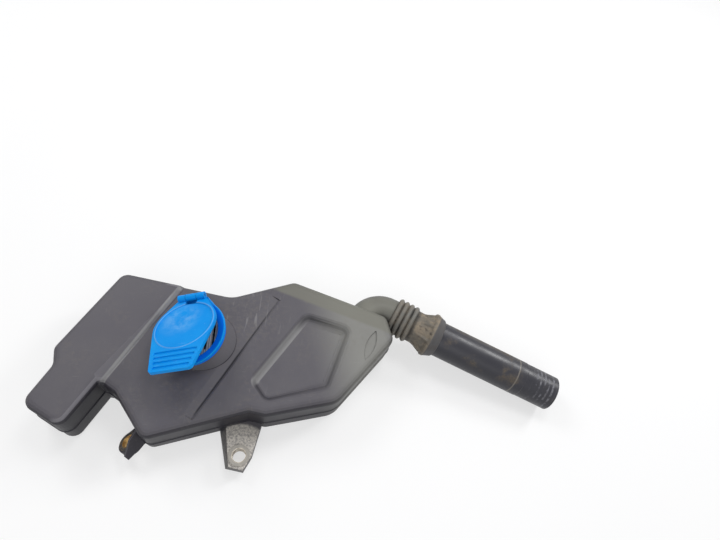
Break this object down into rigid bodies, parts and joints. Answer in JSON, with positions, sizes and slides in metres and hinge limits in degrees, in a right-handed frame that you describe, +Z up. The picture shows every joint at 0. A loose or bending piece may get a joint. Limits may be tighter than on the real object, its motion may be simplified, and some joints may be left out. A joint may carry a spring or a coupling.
{
  "type": "washer fluid reservoir",
  "caption": "Flat blow-moulded reservoir with a leaning filler neck, a hinged flip cap, bolt lugs and an outlet elbow that ends in a flexible bellows and a smooth pipe.",
  "frame": {"origin": "on the base plane, below the middle of the tank", "axes": "+Z up from the base, +X along the tank towards the outlet pipe, +Y towards the rear wall"},
  "size_m": [0.551, 0.1962, 0.1208],
  "materials": {
    "tank_black": "moulded satin, dusty",
    "sleeve_steel": "plated, worn",
    "sleeve_zinc": "yellow plated",
    "strainer_grey": "moulded",
    "cap_deep_blue": "moulded gloss",
    "pin_steel": "drawn",
    "cap_bright_blue": "moulded gloss, scuffed",
    "seal_rubber": "finely ribbed",
    "bellows_rubber": "dusty",
    "pipe_black": "smooth, scuffed at its end"
  },
  "bodies": {
    "tank": {"tank_shell": "tank_black", "front_sleeve": "sleeve_steel", "left_sleeve": "sleeve_zinc", "filler_strainer": "strainer_grey", "cap_base": "cap_deep_blue", "hinge_pin": "pin_steel", "bellows": "bellows_rubber"},
    "lid": {"cap_lid": "cap_bright_blue", "lid_seal": "seal_rubber"},
    "pipe": {"down_pipe": "pipe_black"}
  },
  "joints": [
    {"name": "lid_hinge", "type": "hinge", "parent": "tank", "child": "lid", "pos_m": [-0.0035, 0.04349, 0.08389], "axis": [-0.9338, -0.0785, -0.3491], "range_deg": [-20, 95]},
    {"name": "pipe_swing", "type": "hinge", "parent": "tank", "child": "pipe", "pos_m": [0.25148, 0.0401, 0.037], "axis": [0, 0, 1], "range_deg": [-8, 8], "stiffness_Nm_per_rad": 0.8, "deforming": ["bellows"]}
  ]
}
